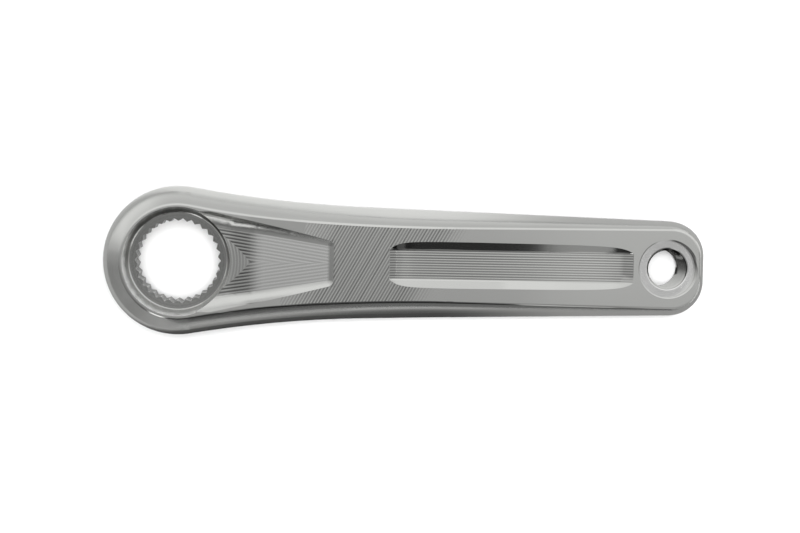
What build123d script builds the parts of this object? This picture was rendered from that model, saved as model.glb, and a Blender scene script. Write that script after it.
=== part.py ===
from build123d import *

import os
from collections import Counter
from math import asin, atan, cos, degrees, radians, sin, sqrt, tan

# Bicycle crank arm, the plain arm of the side without chainrings, milled from one aluminium billet.
# Frame: Z is the axle axis with the outer face up, X runs from the axle to the pedal,
# and z = 0 is the inner face of the axle boss. Lengths are in millimetres, angles in degrees.

# Arm
crank_length = 170.0            # axle axis to pedal axis
boss_height = 22.0              # inner to outer face of the axle boss
waist_inset = 4.4               # how far the straight flank passes inside the head's circle
flank_blend_radius = 430.0      # hollow curve from the head into the flank
pedal_side_wall = 6.6           # recess edge to flank, beside the pedal
pedal_end_wall = 3.2            # recess edge to the end of the arm
pedal_corner_radius = 12.0

# Outer face, flat round the axle and rising to the pedal
incline_start = 66.6            # where the flat and the rising face would meet
incline_angle = 5.8
incline_blend_radius = 525.0
face_width = 26.3               # between the bevels, where the straight incline begins
face_blend_radius = 310.0       # hollow curve of the face's edge, from the head into the arm

# Bevel round the outer face, and the rounded edges
bevel_angle = 45.0              # from the axle axis
head_bevel_width = 6.2
pedal_bevel_width = 2.7         # along the sides, at the pedal
end_bevel_width = 2.2           # across the end of the arm
face_corner_radius = 8.5        # of the outer face, at the pedal
flank_round_radius = 6.5        # bevel into flank
face_edge_radius = 1.1          # outer face into bevel
back_edge_radius = 4.0          # flank into inner face

# Inner face: it leaves the boss, runs level with the incline and ends in a seat square to the pedal
back_rise_start = 38.0
back_rise_angle = 18.0
back_blend_radius = 75.0
pedal_seat_length = 14.0        # from the pedal axis towards the axle

# Axle bore: toothed socket under a tapered counterbore
spline_count = 30
spline_tip_diameter = 27.9
spline_depth = 0.9
spline_lead_in = 0.2            # mouth cone on the inner face, beyond the groove roots
groove_mouth_width = 2.5
groove_root_width = 0.35
counterbore_floor_diameter = 34.2
counterbore_mouth_diameter = 37.8
counterbore_depth = 6.0
counterbore_floor_chamfer = 0.3
head_rim_width = 0.9            # counterbore mouth to the bevel

# Scoop that opens from the counterbore into the arm
scoop_step = 2.8                # scoop floor above the counterbore floor
scoop_ramp_start = 17.5
scoop_crease = 26.0             # where the steep ramp turns into the long shallow floor
scoop_crease_depth = 2.0
scoop_crease_radius = 30.0
scoop_end = 52.7                # where the floor turns up to the outer face
scoop_end_depth = 0.3
scoop_end_slope = 22.0
scoop_axle_width = 39.7         # between the walls at the outer face, carried back to the axle
scoop_end_width = 16.9          # the same at the floor's end
scoop_wall_lean = 40.0          # of the walls, from the axle axis
scoop_nose_radius = 5.0         # round between floor and side walls
scoop_side_inset = 1.5          # widest part of the scoop inside the counterbore mouth

# Long pocket along the middle of the arm
pocket_web = 20.6               # scoop to pocket
pocket_land = 2.0               # pocket to the pedal recess
pocket_floor_width = 10.3
pocket_axle_depth = 2.06        # floor's line below the straight incline, at each end
pocket_pedal_depth = 1.67
pocket_wall_slope = 33.0        # from the floor
pocket_floor_round = 1.5        # floor into side walls
pocket_ramp_run = 29.0          # rim to level floor, at each end
pocket_ramp_knee = 0.09         # share of that run to the end of the steep part
pocket_ramp_fall = 0.77         # share of the depth that the steep part makes for
pocket_ramp_ease = 0.2          # share of the run to where the curve begins to level out

# Pedal eye, 9/16 inch thread
pedal_thread_diameter = 14.29
pedal_thread_chamfer = 0.4
pedal_recess_diameter = 20.0
pedal_recess_depth = 0.3        # at its shallow side, towards the axle
pedal_eye_thickness = 13.4      # recess floor to inner face

# Sizes that follow from those above
overrun = 10.0                  # how far cutting shapes run past the arm
incline = tan(radians(incline_angle))
incline_blend_run = incline_blend_radius * tan(radians(incline_angle / 2))
bevel = tan(radians(bevel_angle))
recess_radius = pedal_recess_diameter / 2
mouth_radius = counterbore_mouth_diameter / 2
head_face_radius = mouth_radius + head_rim_width
head_radius = head_face_radius + head_bevel_width
pedal_half_width = recess_radius + pedal_side_wall
arm_end = crank_length + recess_radius + pedal_end_wall


def rising_face(x):
    """Height of the straight incline at x."""
    return boss_height + (x - incline_start) * incline


def outer_face(x):
    """Height and slope of the outer face at x: flat, then a wide arc, then the incline."""
    into_arc = x - incline_start + incline_blend_run
    if into_arc <= 0:
        return boss_height, 0.0
    if x >= incline_start + incline_blend_run:
        return rising_face(x), incline
    height = boss_height + incline_blend_radius - sqrt(incline_blend_radius**2 - into_arc**2)
    return height, tan(asin(into_arc / incline_blend_radius))


def crossing(point_a, slope_a, point_b, slope_b):
    """Where two sloping lines in the side view meet."""
    x = (point_b[1] - point_a[1] + slope_a * point_a[0] - slope_b * point_b[0]) / (slope_a - slope_b)
    return x, point_a[1] + slope_a * (x - point_a[0])


def arm_outline(head, axle_half, pedal_half, blend, end, corner):
    """One side of the arm seen along the axle: round head, hollow blend, flank, rounded end.

    axle_half is the straight flank's half width carried back to the axle, pedal_half that at the pedal.
    """
    lean = atan((axle_half - pedal_half) / crank_length)
    run = sqrt((head + blend) ** 2 - (axle_half * cos(lean) + blend) ** 2)
    leave = lean + asin(run / (head + blend))
    corner_x = end - corner + corner * sin(lean)
    round_head = CenterArc((0, 0), head, 180, 90 + degrees(leave))
    hollow = JernArc(round_head @ 1, round_head % 1, blend, degrees(lean - leave))
    flank = Line(hollow @ 1, (corner_x, corner_x * tan(lean) - axle_half))
    turn = JernArc(flank @ 1, flank % 1, corner, 90 - degrees(lean))
    Line(turn @ 1, (end, 0))


def border(faces):
    """Edges round a group of faces, without those that two of the group share."""
    uses = Counter(faces.edges())
    return ShapeList(edge for edge in uses if uses[edge] == 1)


arm_top = rising_face(arm_end)
recess_floor = rising_face(crank_length - recess_radius) - pedal_recess_depth
pedal_back = recess_floor - pedal_eye_thickness

# Scoop to cut away: a wedge with leaning walls, and with seat, ramp and shallow run for a floor
scoop_seat = boss_height - counterbore_depth + scoop_step
scoop_end_radius = 1.1 * scoop_nose_radius
scoop_reach = scoop_end + overrun
scoop_reach_height = boss_height - scoop_end_depth + overrun * tan(radians(scoop_end_slope))
scoop_reach_width = scoop_end_width - (scoop_axle_width - scoop_end_width) / scoop_end * overrun
scoop_foot = 1.1 * (boss_height - scoop_seat)
scoop_spread = tan(radians(scoop_wall_lean))
scoop_half = mouth_radius - scoop_side_inset

with BuildPart() as scoop:
    for section_x, width in ((0, scoop_axle_width), (scoop_reach, scoop_reach_width)):
        foot_half = width / 2 - scoop_foot * scoop_spread
        head_half = width / 2 + overrun * scoop_spread
        with BuildSketch(Plane.YZ.offset(section_x)):
            Polygon(
                (-foot_half, boss_height - scoop_foot),
                (foot_half, boss_height - scoop_foot),
                (head_half, boss_height + overrun),
                (-head_half, boss_height + overrun),
                align=None,
            )
    loft(ruled=True)
    with BuildSketch(Plane.XZ) as above_floor:
        Polygon(
            (0, scoop_seat),
            (scoop_ramp_start, scoop_seat),
            (scoop_crease, boss_height - scoop_crease_depth),
            (scoop_end, boss_height - scoop_end_depth),
            (scoop_reach, scoop_reach_height),
            (scoop_reach, boss_height + overrun),
            (0, boss_height + overrun),
            align=None,
        )
        fillet(above_floor.vertices().group_by(Axis.X)[1:3], scoop_crease_radius)
        fillet(above_floor.vertices().group_by(Axis.X)[-2], scoop_end_radius)
    extrude(amount=2 * head_radius, both=True, mode=Mode.INTERSECT)
    floor = scoop.faces().filter_by(lambda face: face.normal_at().Z < -0.85)
    sides = border(floor).filter_by(lambda edge: 0 < edge.center().X < scoop_reach - 0.001)
    fillet(sides, scoop_nose_radius)
    with BuildSketch():
        Rectangle(scoop_reach, 2 * scoop_half, align=(Align.MIN, Align.CENTER))
    extrude(amount=boss_height + 2 * overrun, mode=Mode.INTERSECT)

# Long pocket to cut away: a trough swept down one ramp, along the floor and up the other
pocket_start = scoop_end + pocket_web
pocket_end = crank_length - recess_radius - pocket_land
floor_start = rising_face(pocket_start) - pocket_axle_depth
floor_end = rising_face(pocket_end) - pocket_pedal_depth
floor_slope = (floor_end - floor_start) / (pocket_end - pocket_start)
trough_height = 2 * pocket_axle_depth
wall_spread = trough_height / tan(radians(pocket_wall_slope))


def pocket_ramp(rim_x, inward):
    """Points that draw the ramp from the rim to the floor; inward is 1 or -1 along X."""
    rim = (rim_x, outer_face(rim_x)[0])

    def floor_at(run):
        x = rim_x + inward * run * pocket_ramp_run
        return x, floor_start + (x - pocket_start) * floor_slope

    knee_x, knee_height = floor_at(pocket_ramp_knee)
    knee_height += (1 - pocket_ramp_fall) * (rim[1] - floor_at(0)[1])
    return rim, (knee_x, knee_height), floor_at(pocket_ramp_ease), floor_at(1)


with BuildPart() as pocket:
    with BuildLine(Plane.XZ) as pocket_path:
        ramp_down = Bezier(*pocket_ramp(pocket_start, 1))
        ramp_up = Bezier(*reversed(pocket_ramp(pocket_end, -1)))
        Line(ramp_down @ 0 - overrun * (ramp_down % 0), ramp_down @ 0)
        Line(ramp_down @ 1, ramp_up @ 0)
        Line(ramp_up @ 1, ramp_up @ 1 + overrun * (ramp_up % 1))
    with BuildSketch(Plane(pocket_path.line @ 0, x_dir=(0, 1, 0), z_dir=pocket_path.line % 0)) as trough:
        Polygon(
            (-pocket_floor_width / 2, 0),
            (pocket_floor_width / 2, 0),
            (pocket_floor_width / 2 + wall_spread, trough_height),
            (-pocket_floor_width / 2 - wall_spread, trough_height),
            align=None,
        )
        fillet(trough.vertices().sort_by(Axis.Y)[:2], pocket_floor_round)
    sweep()

# Bevel, as what it leaves of one side of the arm: its outline at z = 0, leaning in as it rises
bevel_end = arm_end - end_bevel_width
bevel_end_height = rising_face(bevel_end)
face_station = incline_start + incline_blend_run
station_half = face_width / 2 + rising_face(face_station) * bevel
bevel_pedal_half = pedal_half_width - pedal_bevel_width + rising_face(crank_length) * bevel
bevel_flank_slope = (bevel_pedal_half - station_half) / (crank_length - face_station)
bevel_head = head_face_radius + boss_height * bevel
bevel_tip = bevel_end + bevel_end_height * bevel

with BuildPart() as bevelled_side:
    with BuildSketch():
        with BuildLine():
            arm_outline(
                bevel_head,
                bevel_pedal_half - crank_length * bevel_flank_slope,
                bevel_pedal_half,
                face_blend_radius - boss_height * bevel,
                bevel_tip,
                face_corner_radius + bevel_end_height * bevel,
            )
            Polyline(
                (bevel_tip, 0),
                (bevel_tip, crank_length),
                (-bevel_head, crank_length),
                (-bevel_head, 0),
            )
        make_face()
    extrude(amount=arm_top, taper=bevel_angle)

# Crank arm
bevel_slant = min(pedal_bevel_width, end_bevel_width) / sin(radians(bevel_angle))
flank_round = min(flank_round_radius, 0.8 * bevel_slant / tan(radians(bevel_angle / 2)))
face_edge = min(face_edge_radius, 0.15 * bevel_slant / tan(radians(45 - bevel_angle / 2)))

back_foot = (back_rise_start, 0)
back_seat = (crank_length - pedal_seat_length, pedal_back)
back_knee = crossing(back_foot, tan(radians(back_rise_angle)), back_seat, incline)
back_ramp = (back_knee[0] - back_rise_start) / cos(radians(back_rise_angle))
back_blend = min(back_blend_radius, 0.45 * back_ramp / tan(radians(back_rise_angle / 2)))

spline_tip_radius = spline_tip_diameter / 2
spline_lead = spline_depth + spline_lead_in
spline_mouth_radius = spline_tip_radius + spline_lead
counterbore_floor = boss_height - counterbore_depth
counterbore_taper = (mouth_radius - counterbore_floor_diameter / 2) / counterbore_depth

with BuildPart() as crank_arm:
    with BuildSketch():
        with BuildLine():
            arm_outline(
                head_radius,
                head_radius - waist_inset,
                pedal_half_width,
                flank_blend_radius,
                arm_end,
                pedal_corner_radius,
            )
            mirror(about=Plane.XZ)
        make_face()
    extrude(amount=arm_top)

    with BuildSketch(Plane.XZ) as side_view:
        Polygon(
            (-head_radius - overrun, 0),
            back_foot,
            back_knee,
            back_seat,
            (arm_end + overrun, pedal_back),
            (arm_end + overrun, rising_face(arm_end + overrun)),
            (incline_start, boss_height),
            (-head_radius - overrun, boss_height),
            align=None,
        )
        bends = side_view.vertices().filter_by_position(Axis.X, 0, crank_length).sort_by(Axis.Y)
        fillet(bends[-1], incline_blend_radius)
        bends = side_view.vertices().filter_by_position(Axis.X, 0, crank_length).sort_by(Axis.Y)
        fillet(bends[:3], back_blend)
    extrude(amount=2 * head_radius, both=True, mode=Mode.INTERSECT)

    add(bevelled_side.part, mode=Mode.INTERSECT)
    add(mirror(bevelled_side.part, about=Plane.XZ, mode=Mode.PRIVATE), mode=Mode.INTERSECT)

    flanks = crank_arm.faces().filter_by(lambda face: abs(face.normal_at().Z) < 0.01)
    backs = crank_arm.faces().filter_by(lambda face: face.normal_at().Z < -0.9)
    back_edges = border(backs)
    fillet(ShapeList(edge for edge in border(flanks) if edge not in back_edges), flank_round)
    fillet(border(crank_arm.faces().filter_by(lambda face: face.normal_at().Z > 0.9)), face_edge)
    fillet(border(crank_arm.faces().filter_by(lambda face: face.normal_at().Z < -0.9)), back_edge_radius)

    # Counterbore, and the bore at the tips of the spline teeth with its lead-in
    with BuildSketch(Plane.XZ) as bore_section:
        Polygon(
            (0, 0),
            (spline_mouth_radius, 0),
            (spline_tip_radius, spline_lead),
            (spline_tip_radius, counterbore_floor),
            (counterbore_floor_diameter / 2, counterbore_floor),
            (mouth_radius + overrun * counterbore_taper, boss_height + overrun),
            (0, boss_height + overrun),
            align=None,
        )
        chamfer(bore_section.vertices().sort_by(Axis.X)[-2], counterbore_floor_chamfer)
    revolve(axis=Axis.Z, mode=Mode.SUBTRACT)

    # Spline grooves
    with BuildSketch():
        with PolarLocations(spline_tip_radius, spline_count):
            Polygon(
                (-spline_depth, -groove_mouth_width / 2),
                (0, -groove_mouth_width / 2),
                (spline_depth, -groove_root_width / 2),
                (spline_depth, groove_root_width / 2),
                (0, groove_mouth_width / 2),
                (-spline_depth, groove_mouth_width / 2),
                align=None,
            )
    extrude(amount=counterbore_floor, mode=Mode.SUBTRACT)

    # Scoop, long pocket and pedal eye
    add(scoop.part, mode=Mode.SUBTRACT)
    add(pocket.part, mode=Mode.SUBTRACT)
    with Locations((crank_length, 0, arm_top)):
        CounterBoreHole(pedal_thread_diameter / 2, recess_radius, arm_top - recess_floor)
    thread_mouths = crank_arm.edges().filter_by(
        lambda edge: edge.geom_type == GeomType.CIRCLE
        and abs(edge.radius - pedal_thread_diameter / 2) < 0.001
        and edge.is_closed
    )
    chamfer(thread_mouths, pedal_thread_chamfer)

crank_arm.part.label = "crank_arm"

os.makedirs("parts", exist_ok=True)
export_step(crank_arm.part, "parts/crank_arm.step")
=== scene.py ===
from math import cos, pi, radians, sin, tan

import bmesh
import bpy
from mathutils import Matrix, Vector


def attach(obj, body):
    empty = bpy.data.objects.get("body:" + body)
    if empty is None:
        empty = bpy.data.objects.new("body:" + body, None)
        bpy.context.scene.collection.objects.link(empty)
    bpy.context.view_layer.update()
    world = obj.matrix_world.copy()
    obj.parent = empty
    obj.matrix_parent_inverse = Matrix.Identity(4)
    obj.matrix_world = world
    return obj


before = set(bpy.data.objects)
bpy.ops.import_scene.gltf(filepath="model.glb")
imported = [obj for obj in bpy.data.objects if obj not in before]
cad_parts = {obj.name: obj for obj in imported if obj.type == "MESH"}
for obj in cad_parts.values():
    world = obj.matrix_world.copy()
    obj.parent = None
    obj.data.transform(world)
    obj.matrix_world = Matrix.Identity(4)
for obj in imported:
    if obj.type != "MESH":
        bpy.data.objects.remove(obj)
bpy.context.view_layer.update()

# The arm: one billet of aluminium, milled all over and anodised clear, so that it is satin silver.
# Its shape is the CAD solid. The finish adds what each cutter left on each of its surfaces: rows, turned
# rings and broken edges. Painted shade darkens the colour at the bottom of rows, on some walls, hollows
# and edges, and painted light brightens a few places.
# A pair of numbers is a soft step, from where a region starts to where it is whole; four numbers are a band.
MM = 0.001
FACES_INWARD = (-0.1, -0.3)
FACES_LEVEL = (0.975, 0.99)
NEARLY_LEVEL = (0.9, 0.95)
FLOOR_SLOPE = (0.6, 0.8)
SHALLOW_SLOPE = (0.5, 0.6)

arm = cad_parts["crank_arm"]
arm_finish = bpy.data.materials.new("satin_anodised_aluminium")
arm_finish.use_nodes = True
nodes = arm_finish.node_tree.nodes
links = arm_finish.node_tree.links
arm_shader = nodes["Principled BSDF"]
arm_shader.inputs["Metallic"].default_value = 1.0


def plug(value, socket):
    """Feeds a socket from another socket, or sets it to a plain value."""
    if isinstance(value, bpy.types.NodeSocket):
        links.new(value, socket)
    else:
        socket.default_value = value


def calc(operation, *values):
    """A number worked out at each point of the surface."""
    node = nodes.new("ShaderNodeMath")
    node.operation = operation
    for value, socket in zip(values, node.inputs):
        plug(value, socket)
    return node.outputs[0]


def fade(value, start, end):
    """0 before start and 1 past end, with a soft step between them."""
    node = nodes.new("ShaderNodeMapRange")
    node.interpolation_type = "SMOOTHSTEP"
    for number, name in ((value, "Value"), (start, "From Min"), (end, "From Max")):
        plug(number, node.inputs[name])
    return node.outputs["Result"]


def both(*masks):
    """The region where all the masks hold."""
    region = masks[0]
    for mask in masks[1:]:
        region = calc("MULTIPLY", region, mask)
    return region


def band(value, start, full, waning, end):
    """The region where a value lies between start and end, with soft steps at both."""
    return both(fade(value, start, full), fade(value, end, waning))


def outside(mask):
    return calc("SUBTRACT", 1.0, mask)


def length(across, along):
    return calc("SQRT", calc("ADD", calc("MULTIPLY", across, across), calc("MULTIPLY", along, along)))


def noise(scale, detail, position):
    node = nodes.new("ShaderNodeTexNoise")
    node.inputs["Scale"].default_value = scale
    node.inputs["Detail"].default_value = detail
    links.new(position, node.inputs["Vector"])
    return node.outputs["Fac"]


# Where a point of the surface is, in millimetres along the arm, across it and up from the boss, and how
# the surface faces there.
place = nodes.new("ShaderNodeTexCoord").outputs["Object"]
in_mm = nodes.new("ShaderNodeVectorMath")
in_mm.operation = "SCALE"
links.new(place, in_mm.inputs[0])
in_mm.inputs["Scale"].default_value = 1 / MM
place_split = nodes.new("ShaderNodeSeparateXYZ")
links.new(in_mm.outputs[0], place_split.inputs[0])
x, y, z = place_split.outputs
off_axis = calc("ABSOLUTE", y)
side = calc("SIGN", y)
from_axle = length(x, y)
axle_out_x = calc("DIVIDE", x, from_axle)
axle_out_y = calc("DIVIDE", y, from_axle)

facing = nodes.new("ShaderNodeNewGeometry").outputs["Normal"]
facing_split = nodes.new("ShaderNodeSeparateXYZ")
links.new(facing, facing_split.inputs[0])
facing_x, facing_y, facing_up = facing_split.outputs
facing_aside = calc("ABSOLUTE", facing_y)
facing_inward = fade(calc("MULTIPLY", facing_y, side), *FACES_INWARD)
level = fade(facing_up, *FACES_LEVEL)
nearly_level = fade(facing_up, *NEARLY_LEVEL)
like_floor = fade(facing_up, *FLOOR_SLOPE)
shallow = fade(facing_up, *SHALLOW_SLOPE)

# What the cutters did: leans of the surface. Shares of painted shade darken the metal's colour. No two
# rows of a cutter are quite alike.
LANE_LEAST = 0.8
LANE_SPREAD = 0.4

leans = []
painted_shades = []


def lean(along_x=0.0, along_y=0.0, along_z=0.0):
    """Tips the surface by this much along each axis."""
    node = nodes.new("ShaderNodeCombineXYZ")
    for value, socket in zip((along_x, along_y, along_z), node.inputs):
        plug(value, socket)
    leans.append(node.outputs[0])


# Paints shade into a region's colour, darkening it by this share.
def paint_shade(region, share):
    painted_shades.append(calc("MULTIPLY", region, share))


def mill(region, distance, pitch, depth, shade, across_x, across_y):
    """Rows left by a cutter. distance counts across them, depth is how far they tip the surface,
    and shade is how much painted shade darkens the bottom of each row.
    """
    turn = calc("DIVIDE", distance, pitch)
    lane = nodes.new("ShaderNodeTexWhiteNoise")
    lane.noise_dimensions = "1D"
    links.new(calc("FLOOR", turn), lane.inputs["W"])
    strength = calc("MULTIPLY_ADD", lane.outputs["Value"], LANE_SPREAD, LANE_LEAST)
    angle = calc("MULTIPLY", turn, 2 * pi)
    tip = both(calc("SINE", angle), strength, region, depth)
    lean(calc("MULTIPLY", tip, across_x), calc("MULTIPLY", tip, across_y))
    low = calc("MULTIPLY_ADD", calc("COSINE", angle), -0.5, 0.5)
    paint_shade(both(region, low, strength), shade)


# Outer face: slanting rows of the face mill, from the end of the scoop to the middle of the long pocket.
# They start faintly and run out slowly; above the scoop the face is plain, darkened with painted shade.
FACE_ROW_ANGLE = radians(60.6)
FACE_ROW_PITCH = 0.98
FACE_ROW_DEPTH = 0.20
FACE_ROW_SHADE = 0.52
ROWS_START = 39.8
ROWS_END = 90.2
START_SLANT = 0.32
END_SLANT = 0.57
FIRST_ROW_SHARE = 0.3
ROW_STEP = 0.3
SETTLING = (0.0, 14.0)
RUNNING_OUT = (-5.0, 8.0)
FACE_HEIGHT = (21.0, 21.5)
PLAIN_FACE_X = (22.0, 26.0)
PLAIN_FACE_Y = (9.0, 10.0)
PLAIN_FACE_SHADE = 0.12
EDGE_STEP = 0.2
SCOOP_HALF = 14.05
SCOOP_TAPER = 0.150
SCOOP_RIM = (-0.95, -0.75)
SCOOP_END = 53.6
POCKET_START = 73.3
POCKET_END = 158.0
POCKET_HALF = 6.0

inside_scoop = calc("SUBTRACT", calc("MULTIPLY_ADD", x, -SCOOP_TAPER, SCOOP_HALF), off_axis)
in_scoop = both(fade(inside_scoop, *SCOOP_RIM), fade(x, SCOOP_END, SCOOP_END - EDGE_STEP))
in_pocket = both(
    fade(off_axis, POCKET_HALF, POCKET_HALF - EDGE_STEP),
    fade(x, POCKET_START - EDGE_STEP / 2, POCKET_START + EDGE_STEP / 2),
)
past_start = calc("SUBTRACT", x, calc("MULTIPLY_ADD", y, START_SLANT, ROWS_START))
before_end = calc("SUBTRACT", calc("MULTIPLY_ADD", y, END_SLANT, ROWS_END), x)
face_rows = both(
    level,
    fade(past_start, 0.0, ROW_STEP),
    fade(before_end, *RUNNING_OUT),
    outside(in_scoop),
    outside(in_pocket),
    fade(z, *FACE_HEIGHT),
)
settled = calc("MULTIPLY_ADD", fade(past_start, *SETTLING), 1 - FIRST_ROW_SHARE, FIRST_ROW_SHARE)
over_rows_x = sin(FACE_ROW_ANGLE)
over_rows_y = -cos(FACE_ROW_ANGLE)
mill(
    face_rows,
    calc("ADD", calc("MULTIPLY", x, over_rows_x), calc("MULTIPLY", y, over_rows_y)),
    FACE_ROW_PITCH,
    calc("MULTIPLY", settled, FACE_ROW_DEPTH),
    calc("MULTIPLY", settled, FACE_ROW_SHADE),
    over_rows_x,
    over_rows_y,
)
# Painted shade: the plain face above the scoop is darkened in the colour.
plain_face = both(level, fade(y, *PLAIN_FACE_Y), fade(x, *PLAIN_FACE_X), fade(past_start, ROW_STEP, 0.0))
paint_shade(plain_face, PLAIN_FACE_SHADE)

# Counterbore: a turned floor round the toothed bore, dished a little towards it and darkened with painted
# shade, and a cone above it with painted light below and painted shade above. The lip between the cone
# and the scoop's lower wall is broken.
RING_PITCH = 0.27
RING_DEPTH = 0.12
FLOOR_RADIUS = 17.3
FLOOR_HEIGHT = 16.0
HEIGHT_STEP = 0.1
FLOOR_DISH = 0.05
FLOOR_RING_SHADE = 0.90
FLOOR_SHADE = 0.14
CONE_RADIUS = 19.2
CONE_SLOPE = (0.15, 0.22, 0.38, 0.45)
CONE_TOP_Y = (4.0, 13.0)
CONE_TOP_SHADE = 0.72
CONE_FOOT_Y = (3.0, -6.0)
LIP_SLOPE = (0.3, 0.2)
LIP_X = (5.0, 6.0, 13.0, 14.0)
LIP_Y = (16.8, 17.2, 17.6, 17.9)
LIP_Z = (18.5, 19.0)
LIP_LEAN = 1.2
LOW_WALL_SLOPE = (0.3, 0.5)
LOW_WALL_X = (5.0, 6.0, 20.0, 26.0)
LOW_WALL_Y = (-11.0, -12.0)
LOW_WALL_Z = (17.5, 18.0)
LOW_WALL_LEAN = 0.35

on_floor = both(
    fade(from_axle, FLOOR_RADIUS, FLOOR_RADIUS - EDGE_STEP),
    nearly_level,
    fade(z, FLOOR_HEIGHT + 2 * HEIGHT_STEP, FLOOR_HEIGHT + HEIGHT_STEP),
)
mill(on_floor, from_axle, RING_PITCH, RING_DEPTH, FLOOR_RING_SHADE, axle_out_x, axle_out_y)
dish = calc("MULTIPLY", on_floor, -FLOOR_DISH)
lean(calc("MULTIPLY", dish, axle_out_x), calc("MULTIPLY", dish, axle_out_y))
# Painted shade over the whole counterbore floor.
paint_shade(on_floor, FLOOR_SHADE)
on_cone = both(
    fade(from_axle, CONE_RADIUS, CONE_RADIUS - EDGE_STEP),
    band(facing_up, *CONE_SLOPE),
    fade(z, FLOOR_HEIGHT, FLOOR_HEIGHT + HEIGHT_STEP),
)
# Painted shade on the upper part of the cone, painted light on its lower part.
paint_shade(both(on_cone, fade(y, *CONE_TOP_Y)), CONE_TOP_SHADE)
painted_light_cone = both(on_cone, fade(y, *CONE_FOOT_Y))
on_lip = both(fade(facing_up, *LIP_SLOPE), band(x, *LIP_X), band(off_axis, *LIP_Y), fade(z, *LIP_Z))
on_low_wall = both(
    fade(facing_y, *LOW_WALL_SLOPE),
    band(x, *LOW_WALL_X),
    fade(y, *LOW_WALL_Y),
    fade(z, *LOW_WALL_Z),
    outside(on_cone),
    outside(on_lip),
)
lean(along_z=calc("ADD", calc("MULTIPLY", on_lip, LIP_LEAN), calc("MULTIPLY", on_low_wall, LOW_WALL_LEAN)))

# Scoop: rows that follow its two sides and meet in the middle, and arcs round the axle on the ramp. The
# floor past the ramp is brightened with painted light. The walls turn towards the counterbore, and the
# upper one is darkened with painted shade.
SCOOP_ROW_ANGLE = radians(8.7)
SCOOP_ROW_PITCH = 1.13
FLAT_ROW_DEPTH = 0.035
RAMP_ROW_DEPTH = 0.080
RAMP_ROW_SHADE = 0.80
ARC_DEPTH = 0.06
ARC_SHADE = 0.18
FORK_REACH = 28.4
ARC_SPREAD = 0.92
ROW_MEETING = (-0.1, 0.1)
SCOOP_FLAT = (0.30, 0.12)
SCOOP_FLOOR_X = (8.0, 9.0, 52.0, 52.6)
PAST_CONE = (17.7, 17.9)
RAMP_X = (30.0, 22.5)
SCOOP_PAINTED_LIGHT = 0.4
TURNING_X = (8.0, 9.0, 17.0, 20.0)
TURNING_Y = (17.9, 17.5)
TURNING_SLOPE = (0.1, 0.3)
WALL_TURN = 0.16
HEAD_X = (62.0, 56.0)
UPPER_WALL_Y = (8.0, 10.0)
UPPER_WALL_SHADE = 0.25
SCOOP_FOOT_X = (52.4, 52.8, 54.2, 54.6)
SCOOP_FOOT_Y = (8.5, 8.0)

on_scoop_floor = both(
    fade(facing_aside, *SCOOP_FLAT),
    fade(inside_scoop, -EDGE_STEP / 2, EDGE_STEP / 2),
    band(x, *SCOOP_FLOOR_X),
    fade(from_axle, *PAST_CONE),
    like_floor,
)
along_side_x = sin(SCOOP_ROW_ANGLE)
along_side_y = cos(SCOOP_ROW_ANGLE)
over_sides = calc("ADD", calc("MULTIPLY", off_axis, along_side_y), calc("MULTIPLY", x, along_side_x))
over_arcs = calc("DIVIDE", calc("SUBTRACT", FORK_REACH, from_axle), ARC_SPREAD)
beside_fork = fade(calc("SUBTRACT", over_sides, over_arcs), *ROW_MEETING)
on_ramp = fade(x, *RAMP_X)
mill(
    both(on_scoop_floor, beside_fork),
    over_sides,
    SCOOP_ROW_PITCH,
    calc("MULTIPLY_ADD", on_ramp, RAMP_ROW_DEPTH - FLAT_ROW_DEPTH, FLAT_ROW_DEPTH),
    calc("MULTIPLY", on_ramp, RAMP_ROW_SHADE),
    along_side_x,
    calc("MULTIPLY", side, along_side_y),
)
mill(
    both(on_scoop_floor, outside(beside_fork)),
    over_arcs,
    SCOOP_ROW_PITCH,
    ARC_DEPTH,
    ARC_SHADE,
    axle_out_x,
    axle_out_y,
)
# Painted light on the scoop floor past the ramp.
painted_light_floor = calc("MULTIPLY", both(on_scoop_floor, outside(on_ramp)), SCOOP_PAINTED_LIGHT)
turning_wall = both(
    band(x, *TURNING_X),
    fade(facing_aside, *TURNING_SLOPE),
    shallow,
    fade(off_axis, *TURNING_Y),
)
lean(along_x=calc("MULTIPLY", turning_wall, -WALL_TURN))
in_head = fade(x, *HEAD_X)
head_wall = both(facing_inward, in_head, outside(on_cone))
# Painted shade on the upper wall of the scoop at the head.
paint_shade(both(head_wall, fade(y, *UPPER_WALL_Y)), UPPER_WALL_SHADE)
# Painted shade at the far end of the scoop, where its floor meets the face.
paint_shade(both(fade(off_axis, *SCOOP_FOOT_Y), band(x, *SCOOP_FOOT_X)), PLAIN_FACE_SHADE)

# Long pocket: straight rows along its floor, fainter towards the pedal. The tip of its upper wall is
# darkened with painted shade.
POCKET_ROW_PITCH = 0.89
POCKET_ROW_DEPTH = 0.12
POCKET_ROW_SHADE = 0.52
LAST_ROW_SHADE = 0.16
ROWS_FAINTER_X = (95.0, 145.0)
POCKET_FLOOR_HALF = 5.25
POCKET_TIP_X = (72.0, 73.0, 77.0, 84.0)
POCKET_TIP_Y = (4.6, 5.1)
POCKET_TIP_SHADE = 0.85

on_pocket_floor = both(
    fade(off_axis, POCKET_FLOOR_HALF, POCKET_FLOOR_HALF - EDGE_STEP),
    band(x, POCKET_START, POCKET_START + ROW_STEP, POCKET_END - ROW_STEP, POCKET_END),
    like_floor,
)
fainter = fade(x, *ROWS_FAINTER_X)
fading_shade = calc("MULTIPLY_ADD", fainter, LAST_ROW_SHADE - POCKET_ROW_SHADE, POCKET_ROW_SHADE)
mill(on_pocket_floor, y, POCKET_ROW_PITCH, POCKET_ROW_DEPTH, fading_shade, 0.0, 1.0)
# Painted shade on the tip of the pocket's upper wall.
paint_shade(both(facing_inward, fade(y, *POCKET_TIP_Y), band(x, *POCKET_TIP_X)), POCKET_TIP_SHADE)
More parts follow.
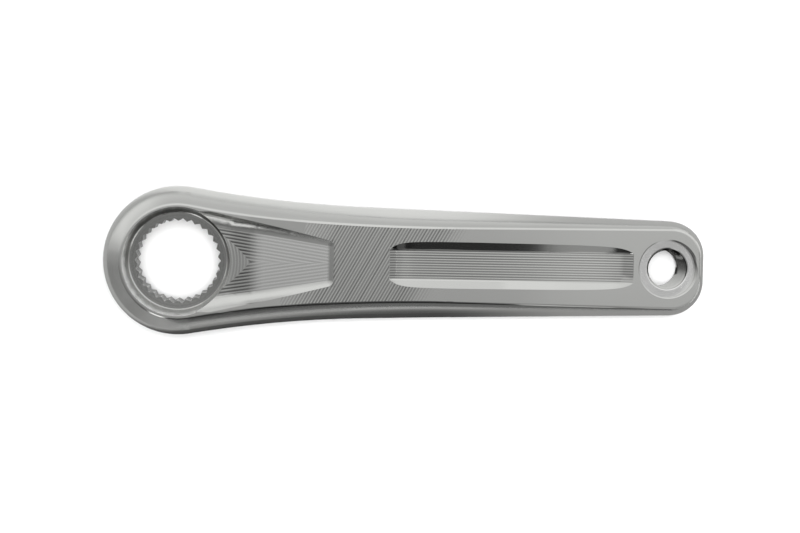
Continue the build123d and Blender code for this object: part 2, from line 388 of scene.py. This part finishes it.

# Pedal eye: a seat of bright turned rings in a shallow recess, with a painted sheen at its left and right
# sides. The edges of the hole and the recess are broken, the recess has painted shade at its upper right,
# and the thread is darkened with painted shade, most of all at its top.
PEDAL_X = 170.0
EYE_RIM = (7.15, 7.2)
SEAT_RIM = (9.95, 9.85)
SEAT_DISH = 0.03
SEAT_RING_SHADE = 0.22
SEAT_SIDES = (0.45, 1.0)
HOLE_EDGE_RIM = (7.7, 7.6)
HOLE_EDGE_SLOPE = (0.5, 0.6, 0.85, 0.95)
HOLE_EDGE_LEAN = 1.0
RECESS_RADIUS = 10.12
RECESS_EDGE_WIDTH = (0.22, 0.14)
RECESS_EDGE_LEAN = 0.40
RECESS_WALL_WIDTH = (0.3, 0.2)
RECESS_WALL_SLOPE = (0.6, 0.4)
UPPER_RIGHT_SLANT = 1.8
UPPER_RIGHT = (8.0, 14.0)
DARK_EDGE_WIDTH = (0.26, 0.18)
DARK_EDGE_TOWARDS = (0.6, 0.8)
DARK_EDGE_ARC = (0.78, 0.93)
RECESS_SHADE = 0.9
THREAD_RIM = (7.25, 7.18)
THREAD_SHADE = 0.15
THREAD_TOP_Y = (-6.0, 1.0)
THREAD_TOP_SHADE = 0.56
THREAD_SHADOW_Y = (1.5, 3.0)
THREAD_SHADOW = 0.2

pedal_x = calc("SUBTRACT", x, PEDAL_X)
from_pedal = length(pedal_x, y)
pedal_out_x = calc("DIVIDE", pedal_x, from_pedal)
pedal_out_y = calc("DIVIDE", y, from_pedal)
past_hole = fade(from_pedal, *EYE_RIM)
on_seat = both(past_hole, fade(from_pedal, *SEAT_RIM), shallow)
mill(on_seat, from_pedal, RING_PITCH, RING_DEPTH, SEAT_RING_SHADE, pedal_out_x, pedal_out_y)
seat_dish = calc("MULTIPLY", on_seat, -SEAT_DISH)
lean(calc("MULTIPLY", seat_dish, pedal_out_x), calc("MULTIPLY", seat_dish, pedal_out_y))
# Painted sheen: the seat is whitened at its left and right sides.
painted_sheen_seat = both(on_seat, fade(calc("ABSOLUTE", pedal_out_x), *SEAT_SIDES))
on_hole_edge = both(past_hole, fade(from_pedal, *HOLE_EDGE_RIM), band(facing_up, *HOLE_EDGE_SLOPE))
lean(along_z=calc("MULTIPLY", on_hole_edge, HOLE_EDGE_LEAN))

off_recess = calc("ABSOLUTE", calc("SUBTRACT", from_pedal, RECESS_RADIUS))
upper_right = fade(calc("ADD", pedal_x, calc("MULTIPLY", y, UPPER_RIGHT_SLANT)), *UPPER_RIGHT)
recess_edge = both(fade(off_recess, *RECESS_EDGE_WIDTH), nearly_level, outside(upper_right))
edge_lean = calc("MULTIPLY", recess_edge, -RECESS_EDGE_LEAN)
lean(calc("MULTIPLY", edge_lean, pedal_out_x), calc("MULTIPLY", edge_lean, pedal_out_y))
# Painted shade on the recess wall and edge at its upper right.
recess_wall = both(fade(off_recess, *RECESS_WALL_WIDTH), fade(facing_up, *RECESS_WALL_SLOPE), upper_right)
towards_x, towards_y = DARK_EDGE_TOWARDS
to_corner = calc("ADD", calc("MULTIPLY", pedal_out_x, towards_x), calc("MULTIPLY", pedal_out_y, towards_y))
dark_edge = both(fade(off_recess, *DARK_EDGE_WIDTH), nearly_level, fade(to_corner, *DARK_EDGE_ARC))
paint_shade(calc("MAXIMUM", recess_wall, dark_edge), RECESS_SHADE)

# Painted shade in the thread, deepest at its top, and a painted shadow over its upper side.
threaded = fade(from_pedal, *THREAD_RIM)
paint_shade(threaded, calc("MULTIPLY_ADD", fade(y, *THREAD_TOP_Y), THREAD_TOP_SHADE, THREAD_SHADE))
paint_shade(both(threaded, fade(y, *THREAD_SHADOW_Y)), THREAD_SHADOW)

# Lower fold, between the face and the lower bevel: a hairline of painted shade along the middle of the arm,
# broken wider towards the pedal and most of all round the corner there.
FACE_TILT = radians(5.8)
FOLD_SLOPE = (0.712, 0.74, 0.985, 0.995)
FOLD_Y = (-2.0, -5.0)
FOLD_WIDER_X = (110.0, 140.0)
FOLD_LEAN = 1.3
CORNER_X = (150.0, 174.0)
CLEAR_OF_RECESS = (10.5, 10.8)
CORNER_LEAN = 9.0
HAIRLINE_SLOPE = (0.72, 0.78, 0.98, 0.995)
HAIRLINE_FACING = (-0.1, -0.2)
HAIRLINE_X = (18.0, 30.0, 95.0, 130.0)
HAIRLINE_Y = (-9.0, -10.0)
HAIRLINE_SHADE = 0.7

facing_face = calc(
    "SUBTRACT", calc("MULTIPLY", facing_up, cos(FACE_TILT)), calc("MULTIPLY", facing_x, sin(FACE_TILT))
)
pedal_fold = both(band(facing_face, *FOLD_SLOPE), fade(y, *FOLD_Y))
round_corner = both(fade(x, *CORNER_X), fade(from_pedal, *CLEAR_OF_RECESS))
fold_lean = calc("MULTIPLY", fade(x, *FOLD_WIDER_X), FOLD_LEAN)
lean(along_z=calc("MULTIPLY", pedal_fold, calc("MULTIPLY_ADD", round_corner, CORNER_LEAN, fold_lean)))
hairline = both(
    band(facing_up, *HAIRLINE_SLOPE),
    fade(y, *HAIRLINE_Y),
    fade(facing_y, *HAIRLINE_FACING),
    band(x, *HAIRLINE_X),
)
# Painted shade along the lower fold.
paint_shade(hairline, HAIRLINE_SHADE)

# Bevels: polished a little rounder than flat, so that they turn slowly from the face to the flank. Only
# round the lower left of the head are they flat.
BEVEL_CROWN = 0.07
BEVEL_MIDDLE = 4.2
MIDDLE_DROP = 0.124
BEVEL_HALF = 5.4
HALF_DROP = 0.02
CROWN_REACH = 1.2
BEVEL_SLOPE = (0.5, 0.66, 0.74, 0.9)
BEVEL_OUTWARD = (12.0, 13.0)
BEVEL_END_X = (184.0, 178.0)
FLAT_HEAD_X = (3.0, -6.0)
FLAT_HEAD_Y = (14.0, 4.0)

before_axle = calc("MINIMUM", x, 0.0)
outward = length(before_axle, y)
bevel_middle = calc("MULTIPLY_ADD", calc("MAXIMUM", x, 0.0), -MIDDLE_DROP, BEVEL_MIDDLE)
bevel_half = calc("MULTIPLY_ADD", x, -HALF_DROP, BEVEL_HALF)
across_bevel = calc("DIVIDE", calc("SUBTRACT", calc("SUBTRACT", outward, z), bevel_middle), bevel_half)
across_bevel = calc("MINIMUM", calc("MAXIMUM", across_bevel, -CROWN_REACH), CROWN_REACH)
on_bevel = both(band(facing_up, *BEVEL_SLOPE), fade(outward, *BEVEL_OUTWARD), fade(x, *BEVEL_END_X))
flat_head = both(fade(x, *FLAT_HEAD_X), fade(y, *FLAT_HEAD_Y))
crown = calc("MULTIPLY", both(on_bevel, across_bevel, outside(flat_head)), BEVEL_CROWN)
lean(
    calc("MULTIPLY", crown, calc("DIVIDE", before_axle, outward)),
    calc("MULTIPLY", crown, calc("DIVIDE", y, outward)),
    calc("MULTIPLY", crown, -1.0),
)

# All over: the satin of the anodised skin, a little uneven in gloss and tone. Bevels and pocket walls are
# smoother than the level faces, less so at the head, and the cone is the roughest.
ALUMINIUM = (0.70, 0.705, 0.685)
SHADED_SHARE = 0.94
FRESH_CUT_AND_PAINTED_LIGHT = (0.88, 0.88, 0.87)
PAINTED_SHEEN = (1.0, 1.0, 0.99)
PAINTED_SHADE_COLOUR = (0.10, 0.10, 0.10)
GRAIN_SCALE = 3200.0
GRAIN_DETAIL = 2.0
GRAIN_STRENGTH = 0.03
GRAIN_DEPTH = 0.02
CLOUD_SCALE = 45.0
CLOUD_DETAIL = 3.0
SATIN = 0.145
SATIN_SPREAD = 0.05
ARM_POLISH = 0.40
HEAD_POLISH = 0.15
CONE_ROUGHER = 0.22
WALL_ROUGHER = 0.05

tipped = facing
for one_lean in leans:
    add = nodes.new("ShaderNodeVectorMath")
    add.operation = "ADD"
    links.new(tipped, add.inputs[0])
    links.new(one_lean, add.inputs[1])
    tipped = add.outputs[0]
even = nodes.new("ShaderNodeVectorMath")
even.operation = "NORMALIZE"
links.new(tipped, even.inputs[0])
skin = nodes.new("ShaderNodeBump")
skin.inputs["Strength"].default_value = GRAIN_STRENGTH
skin.inputs["Distance"].default_value = GRAIN_DEPTH * MM
links.new(noise(GRAIN_SCALE, GRAIN_DETAIL, place), skin.inputs["Height"])
links.new(even.outputs[0], skin.inputs["Normal"])
links.new(skin.outputs["Normal"], arm_shader.inputs["Normal"])

cloud = noise(CLOUD_SCALE, CLOUD_DETAIL, place)
polish = calc("MULTIPLY_ADD", in_head, HEAD_POLISH - ARM_POLISH, ARM_POLISH)
polish = both(outside(level), outside(both(facing_inward, in_head)), polish)
satin = calc("MULTIPLY", calc("MULTIPLY_ADD", cloud, SATIN_SPREAD, SATIN), outside(polish))
rougher = calc("ADD", calc("MULTIPLY", on_cone, CONE_ROUGHER), calc("MULTIPLY", head_wall, WALL_ROUGHER))
links.new(calc("ADD", satin, rougher), arm_shader.inputs["Roughness"])


def coloured(share, under, over, blend="MIX"):
    """One colour over another by this share. Each is a plain colour or a socket."""
    node = nodes.new("ShaderNodeMix")
    node.data_type = "RGBA"
    node.blend_type = blend
    links.new(share, node.inputs["Factor"])
    for colour, name in ((under, "A"), (over, "B")):
        plug((*colour, 1.0) if isinstance(colour, tuple) else colour, node.inputs[name])
    return node.outputs["Result"]


metal = coloured(cloud, tuple(SHADED_SHARE * part for part in ALUMINIUM), ALUMINIUM)
# Painted light on the lower cone and the scoop floor past the ramp, bare cut metal on the seat; then painted
# sheen at the seat's sides.
metal = coloured(calc("MAXIMUM", on_seat, calc("MAXIMUM", painted_light_floor, painted_light_cone)), metal, FRESH_CUT_AND_PAINTED_LIGHT)
metal = coloured(painted_sheen_seat, metal, PAINTED_SHEEN)
# All painted shade, added up, darkens the metal's colour.
painted_shade = painted_shades[0]
for share in painted_shades[1:]:
    painted_shade = calc("ADD", painted_shade, share)
metal = coloured(painted_shade, metal, PAINTED_SHADE_COLOUR, "MULTIPLY")
links.new(metal, arm_shader.inputs["Base Color"])

arm.data.materials.clear()
arm.data.materials.append(arm_finish)

# The pedal thread: a left-hand thread, twenty turns to the inch, tapped through the eye in the arm's own
# metal. One ridge winds from the inner face to the seat, with its ends run out into the bore.
BORE_RADIUS = 7.145
CREST_RADIUS = 6.46
ROOT_SINK = 0.02
THREAD_PITCH = 1.27
ROOT_SHARE = 0.47
CREST_SHARE = 1 / 14
SEAT_HEIGHT = 31.187
EYE_BACK = 17.787
RUN_IN = 0.45
TURN_STEPS = 72

thread_turns = (SEAT_HEIGHT - EYE_BACK - 2 * RUN_IN - THREAD_PITCH) / THREAD_PITCH
thread_steps = round(thread_turns * TURN_STEPS)
root_half = ROOT_SHARE * THREAD_PITCH
crest_half = CREST_SHARE * THREAD_PITCH
thread_start = EYE_BACK + RUN_IN + root_half

ridge = bmesh.new()
profile = [
    ridge.verts.new(((PEDAL_X + radius) * MM, 0.0, (thread_start + height) * MM))
    for radius, height in (
        (BORE_RADIUS + ROOT_SINK, -root_half),
        (BORE_RADIUS + ROOT_SINK, root_half),
        (CREST_RADIUS, crest_half),
        (CREST_RADIUS, -crest_half),
    )
]
loop = [ridge.edges.new((profile[i], profile[(i + 1) % 4])) for i in range(4)]
bmesh.ops.spin(
    ridge,
    geom=profile + loop,
    cent=(PEDAL_X * MM, 0.0, 0.0),
    axis=(0.0, 0.0, 1.0),
    dvec=(0.0, 0.0, THREAD_PITCH * MM / TURN_STEPS),
    angle=-2 * pi * thread_steps / TURN_STEPS,
    steps=thread_steps,
)
bmesh.ops.holes_fill(ridge, edges=[edge for edge in ridge.edges if edge.is_boundary], sides=4)
bmesh.ops.recalc_face_normals(ridge, faces=ridge.faces[:])
thread_mesh = bpy.data.meshes.new("pedal_thread")
ridge.to_mesh(thread_mesh)
ridge.free()
pedal_thread = bpy.data.objects.new("pedal_thread", thread_mesh)
bpy.context.scene.collection.objects.link(pedal_thread)
for face in thread_mesh.polygons:
    face.use_smooth = False
thread_mesh.materials.append(arm_finish)
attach(pedal_thread, "root")

# The table: a plain white sheet. The arm lies on it on the edge of its boss and the end of its pedal eye,
# so the sheet is tilted under the arm's own frame.
REST_TILT = radians(6.8)
TOUCH_X = 0.030
SHEET_DROP = -TOUCH_X * tan(REST_TILT)
TABLE_HALF = 4.0
PAPER = (0.86, 0.86, 0.86, 1.0)
PAPER_ROUGHNESS = 0.9
PAPER_SHINE = 0.1


def lay_sheet(name, half, lift):
    """A square sheet under the arm, at the table's tilt and this far above it."""
    sheet = bmesh.new()
    bmesh.ops.create_grid(sheet, x_segments=1, y_segments=1, size=half)
    bmesh.ops.rotate(sheet, cent=(0, 0, 0), matrix=Matrix.Rotation(-REST_TILT, 3, "Y"), verts=sheet.verts[:])
    bmesh.ops.translate(sheet, vec=(0, 0, SHEET_DROP + lift), verts=sheet.verts[:])
    mesh = bpy.data.meshes.new(name)
    sheet.to_mesh(mesh)
    sheet.free()
    laid = bpy.data.objects.new(name, mesh)
    bpy.context.scene.collection.objects.link(laid)
    paper = bpy.data.materials.new(name)
    paper.use_nodes = True
    mesh.materials.append(paper)
    return laid, paper.node_tree


table, table_paper = lay_sheet("table", TABLE_HALF, 0.0)
paper_shader = table_paper.nodes["Principled BSDF"]
paper_shader.inputs["Base Color"].default_value = PAPER
paper_shader.inputs["Roughness"].default_value = PAPER_ROUGHNESS
paper_shader.inputs["Specular IOR Level"].default_value = PAPER_SHINE

# The shade card: a thin card on the table, seen only in the metal, whose greys are painted reflections of
# the table's light and shade. It is pale past the arm's upper edge, dark with painted shadow along the
# lower one and even at the ends. Under the bore it is grey with painted shade, with a white middle.
CARD_HALF = 0.8
CARD_LIFT = 0.0003
PAST_HEAD_X = (0.0, -0.05)
PAST_PEDAL_X = (0.09, 0.15)
ACROSS_ARM_Y = (-0.02, 0.03)
NEAR_SHADE = 0.045
NEAR_RISE = 0.34
NEAR_RISE_Y = (-0.03, -0.30)
END_SHADE = 0.24
HEAD_END_RISE = 0.08
FAR_SHADE = 0.58
FAR_END_DROP = 0.23
BORE_SHADE = 0.25
BORE_RIM = (0.020, 0.018)
BORE_MIDDLE = (0.0115, 0.0095)

card, card_paper = lay_sheet("painted_shade_card", CARD_HALF, CARD_LIFT)
nodes, links = card_paper.nodes, card_paper.links
card_split = nodes.new("ShaderNodeSeparateXYZ")
links.new(nodes.new("ShaderNodeTexCoord").outputs["Object"], card_split.inputs[0])
card_x, card_y = card_split.outputs["X"], card_split.outputs["Y"]
past_head = fade(card_x, *PAST_HEAD_X)
past_ends = calc("MAXIMUM", past_head, fade(card_x, *PAST_PEDAL_X))
near_middle = calc("MULTIPLY_ADD", fade(card_y, *NEAR_RISE_Y), NEAR_RISE, NEAR_SHADE)
near_end = calc("MULTIPLY_ADD", past_head, HEAD_END_RISE, END_SHADE)
near_side = calc(
    "ADD", calc("MULTIPLY", near_middle, outside(past_ends)), calc("MULTIPLY", near_end, past_ends)
)
far_side = calc("MULTIPLY_ADD", past_ends, -FAR_END_DROP, FAR_SHADE)
across_arm = fade(card_y, *ACROSS_ARM_Y)
around = calc("ADD", calc("MULTIPLY", far_side, across_arm), calc("MULTIPLY", near_side, outside(across_arm)))
from_bore = length(card_x, card_y)
under_bore = fade(from_bore, *BORE_RIM)
bore_shade = calc("MULTIPLY_ADD", fade(from_bore, *BORE_MIDDLE), 1 - BORE_SHADE, BORE_SHADE)
card_shade = calc(
    "ADD", calc("MULTIPLY", around, outside(under_bore)), calc("MULTIPLY", bore_shade, under_bore)
)
links.new(card_shade, nodes["Principled BSDF"].inputs["Base Color"])
nodes["Principled BSDF"].inputs["Roughness"].default_value = 1.0
card.visible_camera = False
card.visible_diffuse = False
card.visible_shadow = False

# The studio: a room with a pale wall past the arm's upper edge and a dark one behind its near edge. One
# lamp above whitens the table, and six soft panels round the arm give its streaks and its bright seat.
# Each step of the room's light is a place, from 0 to 1, and its brightness.
NEAR_TO_FAR = (
    (0.000, 0.18),
    (0.004, 0.18),
    (0.010, 0.03),
    (0.065, 0.03),
    (0.100, 0.09),
    (0.150, 0.20),
    (0.200, 0.30),
    (0.425, 0.35),
    (0.480, 0.48),
    (0.525, 0.55),
    (0.560, 0.74),
    (0.625, 0.82),
    (0.750, 0.94),
    (0.925, 0.94),
    (0.985, 0.79),
)
HEAD_TO_PEDAL = ((0.0, 0.72), (0.36, 0.70), (0.42, 1.0), (0.55, 1.0), (0.65, 0.8), (1.0, 0.8))
FLOOR_TO_TOP = ((0.0, 1.0), (0.16, 0.80), (0.30, 0.82), (0.55, 1.0))
FAR_WALL = (0.05, 0.4)
TABLE_LAMP_PLACE = (0.03, 0.04, 0.9)
TABLE_LAMP_TARGET = (0.04, 0.0, 0.0)
TABLE_LAMP_SIDE = 0.35
TABLE_LAMP_WATTS = 9.0
PANELS = (
    # name, place, target, width, height, brightness
    ("pedal_panel", (0.25, -0.03, 0.60), (0.25, -0.03, 0.0), 0.27, 0.24, 0.10),
    ("seat_panel", (0.33, -0.03, 0.60), (0.33, -0.03, 0.0), 0.13, 0.16, 1.3),
    ("near_panel", (0.195, -0.39, 0.33), (0.14, 0.0, 0.02), 0.11, 0.40, 0.34),
    ("streak_panel", (-0.149, -0.3625, 0.203), (0.018, 0.013, 0.02), 0.10, 0.32, 1.4),
    ("corner_panel", (0.49, -0.325, 0.155), (0.18, -0.01, 0.03), 0.30, 0.17, 0.9),
    ("end_panel", (0.42, -0.03, 0.08), (0.18, 0.0, 0.02), 0.35, 0.14, 0.45),
)

studio = bpy.data.worlds.new("studio")
bpy.context.scene.world = studio
studio.use_nodes = True
nodes, links = studio.node_tree.nodes, studio.node_tree.links
direction = nodes.new("ShaderNodeSeparateXYZ")
links.new(nodes.new("ShaderNodeTexCoord").outputs["Generated"], direction.inputs[0])
room_x, room_y, room_z = direction.outputs


def graded(stops, position):
    """Light that changes along one way through the room, in steps of place and brightness."""
    node = nodes.new("ShaderNodeValToRGB")
    elements = node.color_ramp.elements
    elements[0].position = stops[0][0]
    elements[1].position = stops[-1][0]
    for stop, _ in stops[1:-1]:
        elements.new(stop)
    for element, (stop, light) in zip(elements, stops):
        element.color = (light, light, light, 1.0)
    links.new(position, node.inputs["Fac"])
    return node.outputs["Color"]


walls = graded(NEAR_TO_FAR, calc("MULTIPLY_ADD", room_y, 0.5, 0.5))
ends = graded(HEAD_TO_PEDAL, calc("MULTIPLY_ADD", room_x, 0.5, 0.5))
skirting = graded(FLOOR_TO_TOP, room_z)
far_wall = fade(room_y, *FAR_WALL)
near_light = calc("MULTIPLY_ADD", ends, outside(far_wall), far_wall)
far_light = calc("MULTIPLY_ADD", skirting, far_wall, outside(far_wall))
links.new(walls, nodes["Background"].inputs["Color"])
links.new(calc("MULTIPLY", near_light, far_light), nodes["Background"].inputs["Strength"])


def softbox(name, stand, target, width, height, watts):
    """A soft rectangular lamp that stands at one point and shines at another."""
    lamp = bpy.data.lights.new(name, "AREA")
    lamp.shape = "RECTANGLE"
    lamp.size = width
    lamp.size_y = height
    lamp.energy = watts
    holder = bpy.data.objects.new(name, lamp)
    holder.location = stand
    holder.rotation_euler = (Vector(target) - Vector(stand)).to_track_quat("-Z", "Y").to_euler()
    bpy.context.scene.collection.objects.link(holder)
    return holder


table_lamp = softbox(
    "table_lamp",
    TABLE_LAMP_PLACE,
    TABLE_LAMP_TARGET,
    TABLE_LAMP_SIDE,
    TABLE_LAMP_SIDE,
    TABLE_LAMP_WATTS,
)
table_lamp.visible_glossy = False
for name, stand, target, width, height, brightness in PANELS:
    softbox(name, stand, target, width, height, brightness * pi * width * height)

# The camera: above the table, with a long lens, a little to the axle's side of the arm's middle.
LENS = 67.98
SENSOR_WIDTH = 36.0
NEAREST_SEEN = 0.01
CAMERA_PLACE = (0.02642, 0.02535, 0.54658)
CAMERA_BACK = Vector((-0.09610, 0.04948, 0.99414))
CAMERA_UP = Vector((-0.01266, 0.99862, -0.05093))

camera = bpy.data.cameras.new("camera")
camera.sensor_width = SENSOR_WIDTH
camera.lens = LENS
camera.clip_start = NEAREST_SEEN
camera_holder = bpy.data.objects.new("camera", camera)
bpy.context.scene.collection.objects.link(camera_holder)
camera_right = CAMERA_UP.cross(CAMERA_BACK).normalized()
camera_up = CAMERA_BACK.cross(camera_right)
turned = Matrix((camera_right, camera_up, CAMERA_BACK)).transposed().to_4x4()
camera_holder.matrix_world = Matrix.Translation(CAMERA_PLACE) @ turned
bpy.context.scene.camera = camera_holder
bpy.context.scene.view_settings.view_transform = "Standard"
